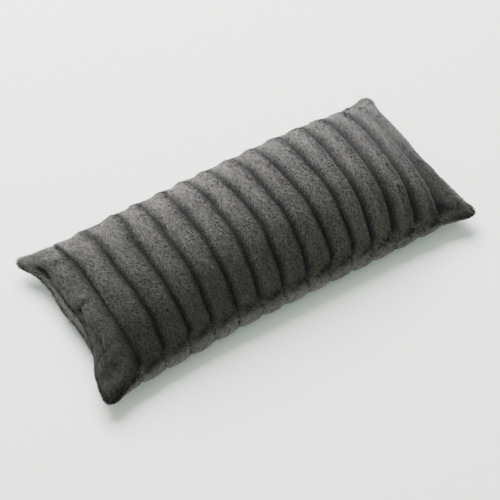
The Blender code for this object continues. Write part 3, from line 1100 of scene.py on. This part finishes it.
def stray_hairs(ground):
    """A piece of single hairs that stand out from the fur beside the seams."""
    dice = np.random.default_rng(STRAY_SEED)
    each = (STRAY_HAIRS, 3)
    place = stored(ground, "position")
    likely = stored(ground, "hanging") * (place[:, 2] > STRAY_ABOVE)
    chosen = dice.choice(len(place), STRAY_HAIRS, p=likely / likely.sum())
    start = place[chosen] + dice.uniform(-1, 1, each) * STRAY_SPREAD
    outside = stored(ground, "outside")[chosen]
    lifted = stored(ground, "growth")[chosen] + STRAY_LIFT * outside
    way = unit(lifted + STRAY_FLY * dice.uniform(-1, 1, each))
    bend = STRAY_CURL * dice.uniform(-1, 1, each) - np.array([0, 0, STRAY_DROOP])
    length = dice.uniform(*STRAY_LENGTH, (STRAY_HAIRS, 1))
    side = unit(np.cross(way, outside + STRAY_TWIST * bend))
    points = []
    for step in range(STRAY_STEPS + 1):
        share = step / STRAY_STEPS
        middle = start + length * (share * way + share**2 * bend)
        half = STRAY_WIDTH / 2 * (1 - STRAY_TAPER * share)
        points += [middle - half * side, middle + half * side]
    points = np.stack(points, axis=1)
    points[..., 2] = np.maximum(points[..., 2], STRAY_LEVEL)
    per_hair = 2 * (STRAY_STEPS + 1)
    quads = [
        (base + 2 * step, base + 2 * step + 1, base + 2 * step + 3, base + 2 * step + 2)
        for base in range(0, STRAY_HAIRS * per_hair, per_hair)
        for step in range(STRAY_STEPS)
    ]
    thing = plain_mesh("stray_hairs", points.reshape(-1, 3), quads)
    along = np.repeat(np.linspace(*STRAY_ALONG, STRAY_STEPS + 1), 2)
    store(thing, "root", np.repeat(start, per_hair, axis=0))
    store(thing, "outside", np.repeat(outside, per_hair, axis=0))
    store(thing, "along", np.tile(along, STRAY_HAIRS))
    store(thing, "shade", np.repeat(dice.uniform(*STRAY_SHADES, STRAY_HAIRS), per_hair))
    store(thing, "painted_shading", np.ones(STRAY_HAIRS * per_hair))
    return thing


def dye_group():
    """Shader group: the fur's colour, painted shade at the roots and light at the tips, with uneven
    dye.
    """
    tree = bpy.data.node_groups.new("charcoal_dye", "ShaderNodeTree")
    name_sockets(tree, "INPUT", (
        ("Deep", "Color"), ("Light", "Color"), ("Reach", "Float"), ("Shade", "Float"),
        ("Place", "Vector"),
    ))
    name_sockets(tree, "OUTPUT", [("Color", "Color")])
    t = Tree(tree)
    given = t.add("NodeGroupInput").outputs
    colour = t.mixed(given["Reach"], given["Deep"], given["Light"])
    patches = t.noise(given["Place"], 1 / PATCH_SIZE)["Fac"]
    locks = t.noise(given["Place"], 1 / LOCK_SHADE_SIZE, 2.0)["Fac"]
    value = t.varied(given["Shade"], SHADE_RANGE)
    value = t.times(value, t.varied(patches, PATCH_RANGE))
    value = t.times(value, t.varied(locks, LOCK_RANGE))
    shaded = t.first("ShaderNodeHueSaturation", {"Color": colour, "Value": value})
    t.add("NodeGroupOutput", {"Color": shaded})
    return tree


def new_material(name, values):
    """A material with values on its shader's own sockets, its shader and its tree."""
    material = bpy.data.materials.new(name)
    material.use_nodes = True
    shader = material.node_tree.nodes["Principled BSDF"]
    for socket, value in values.items():
        shader.inputs[socket].default_value = value
    return material, shader, Tree(material.node_tree)


def pile_material(dye, name, deep, warm, cool, sheen, contrast):
    """Charcoal pile: painted shade at the root, light at the tip."""
    material, shader, t = new_material(name, {
        "Roughness": GLOSS_ROUGHNESS,
        "Specular IOR Level": GLOSS,
        "Sheen Weight": sheen[0],
        "Sheen Roughness": sheen[1],
        "Sheen Tint": (*SHEEN_TINT, 1),
    })
    tip = t.math("POWER", t.read("along"), TIP_POWER)
    colour = t.first("ShaderNodeGroup", {
        "Deep": (*deep, 1),
        "Light": t.mixed(t.read("cool"), (*warm, 1), (*cool, 1)),
        "Reach": t.times(tip, t.read("painted_shading")),
        "Shade": t.math("MULTIPLY_ADD", t.read("shade"), contrast, 0.5 - contrast / 2),
        "Place": t.read("root", "Vector"),
    }, node_tree=dye)
    t.feed(shader.inputs["Base Color"], colour)
    own = t.scaled(t.add("ShaderNodeNewGeometry").outputs["Normal"], OWN_NORMAL)
    bent = t.vector("NORMALIZE", t.vector("ADD", t.read("outside", "Vector"), own))
    t.feed(shader.inputs["Normal"], bent)
    return material


def cloth_material(dye, name, light, reach, sheen):
    """The pile's own roots, seen between the locks, mixed from the roots' painted shade."""
    material, shader, t = new_material(name, {
        "Roughness": CLOTH_ROUGHNESS,
        "Specular IOR Level": CLOTH_GLOSS,
        "Sheen Weight": sheen,
        "Sheen Roughness": SHEEN[1],
    })
    place = t.add("ShaderNodeTexCoord").outputs["Object"]
    grain = t.noise(place, 1 / GRAIN_SIZE, 2.0)["Fac"]
    colour = t.first("ShaderNodeGroup", {
        "Deep": (*SHADED_ROOT_DYE, 1),
        "Light": (*light, 1),
        "Reach": t.times(t.read("painted_shading"), reach),
        "Shade": grain,
        "Place": place,
    }, node_tree=dye)
    t.feed(shader.inputs["Base Color"], colour)
    bump = {"Strength": GRAIN_BUMP[0], "Distance": GRAIN_BUMP[1], "Height": grain}
    t.feed(shader.inputs["Normal"], t.first("ShaderNodeBump", bump))
    return material


def studio():
    """Camera, soft box, even studio light and plain pale floor."""
    scene = bpy.context.scene
    world = bpy.data.worlds.new("pale_studio")
    scene.world = world
    world.use_nodes = True
    background = world.node_tree.nodes["Background"]
    background.inputs["Color"].default_value = (*STUDIO_COLOUR, 1)
    background.inputs["Strength"].default_value = STUDIO_STRENGTH
    data = bpy.data.cameras.new("view")
    data.lens = LENS_MM
    data.sensor_width = SENSOR_MM
    data.clip_end = CAMERA_REACH
    forward = Vector(CAMERA_LOOKS).normalized()
    right = forward.cross(Vector((0, 0, 1))).normalized()
    turn = Matrix((right, right.cross(forward), -forward)).transposed()
    roll = Matrix.Rotation(math.radians(-CAMERA_ROLL_DEG), 3, "Z")
    scene.camera = linked("view", data)
    scene.camera.matrix_world = Matrix.Translation(CAMERA_AT) @ (turn @ roll).to_4x4()
    data = bpy.data.lights.new("soft_box", "AREA")
    data.shape = "SQUARE"
    data.size = SOFT_BOX_SIZE
    data.energy = SOFT_BOX_WATTS
    data.color = SOFT_BOX_COLOUR
    direction = math.radians(SOFT_BOX_DIRECTION_DEG)
    elevation = math.radians(SOFT_BOX_ELEVATION_DEG)
    towards = Vector((
        math.sin(direction) * math.cos(elevation),
        math.cos(direction) * math.cos(elevation),
        math.sin(elevation),
    ))
    soft_box = linked("soft_box", data)
    soft_box.location = towards * SOFT_BOX_DISTANCE
    soft_box.rotation_euler = (-towards).to_track_quat("-Z", "Y").to_euler()
    far = FLOOR_REACH
    corners = [(-far, -far, 0), (far, -far, 0), (far, far, 0), (-far, far, 0)]
    floor = plain_mesh("floor", corners, [(0, 1, 2, 3)])
    material, _shader, _tree = new_material("pale_floor", {
        "Base Color": (*FLOOR_COLOUR, 1),
        "Roughness": FLOOR_ROUGHNESS,
        "Specular IOR Level": FLOOR_GLOSS,
        "Emission Color": (*FLOOR_GLOW, 1),
        "Emission Strength": FLOOR_GLOW_STRENGTH,
    })
    floor.data.materials.append(material)


def face_values(thing, name):
    """A value kept on the points of a mesh of quads, averaged over each face."""
    corners = np.zeros(len(thing.data.loops), np.int32)
    thing.data.loops.foreach_get("vertex_index", corners)
    return stored(thing, name).astype(float)[corners.reshape(-1, 4)].mean(axis=1)


def dye_cloth(ground, zones, dye):
    """Front roots, the channels' cloth without sheen as painted shade, and the smoother roots of
    the back.
    """
    for name, *looks in (
        ("charcoal_roots", ROOT_DYE, ROOT_REACH, ROOT_SHEEN),
        ("shaded_channel_cloth", ROOT_DYE, ROOT_REACH, SHADED_CHANNEL_SHEEN),
        ("smooth_roots", BACK_ROOT_DYE, BACK_ROOT_REACH, ROOT_SHEEN),
    ):
        ground.data.materials.append(cloth_material(dye, name, *looks))
    # Faces deep in the channels' painted shade take the shaded cloth without sheen.
    in_painted_shade = face_values(ground, "line") < SHADED_CLOTH_BELOW
    numbers = np.where(in_painted_shade, 1, np.where(zones > 2, 2, 0))
    ground.data.polygons.foreach_set("material_index", numbers.astype(np.int32))


studio()
dye = dye_group()
ground, zones = skin()
dye_cloth(ground, zones, dye)
pile_dyes = {
    1: pile_material(dye, "charcoal_pile", SHADED_ROOT_DYE, WARM_SHADE_DYE, COOL_LIGHT_DYE, SHEEN, CONTRAST),
    -1: pile_material(
        dye, "charcoal_smooth_pile", BACK_SHADED_ROOT_DYE, BACK_DYE, BACK_DYE, BACK_SHEEN, BACK_CONTRAST
    ),
}
lock = lock_shape()
pile = pile_tree()
areas = np.zeros(len(zones), np.float32)
ground.data.polygons.foreach_get("area", areas)
zone_areas = np.bincount(zones, areas.astype(float) * face_values(ground, "thick"))
pieces = [ground]
for zone, (name, face) in enumerate((
    ("front_pile_left", 1),
    ("front_pile_middle", 1),
    ("front_pile_right", 1),
    ("back_pile_left", -1),
    ("back_pile_right", -1),
)):
    pieces.append(grow_pile(name, ground, pile, {
        "Lock": lock,
        "Zone": zone,
        "Locks per square metre": float(LOCKS[face] / zone_areas[zone]),
        "Seed": PILE_SEED + zone,
        "Fly": FLY[face],
        "Material": pile_dyes[face],
    }))
bpy.data.objects.remove(lock)
hairs = stray_hairs(ground)
hairs.data.materials.append(pile_dyes[-1])
pieces.append(hairs)
for piece in pieces:
    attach(piece, "root")
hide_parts("cushion")
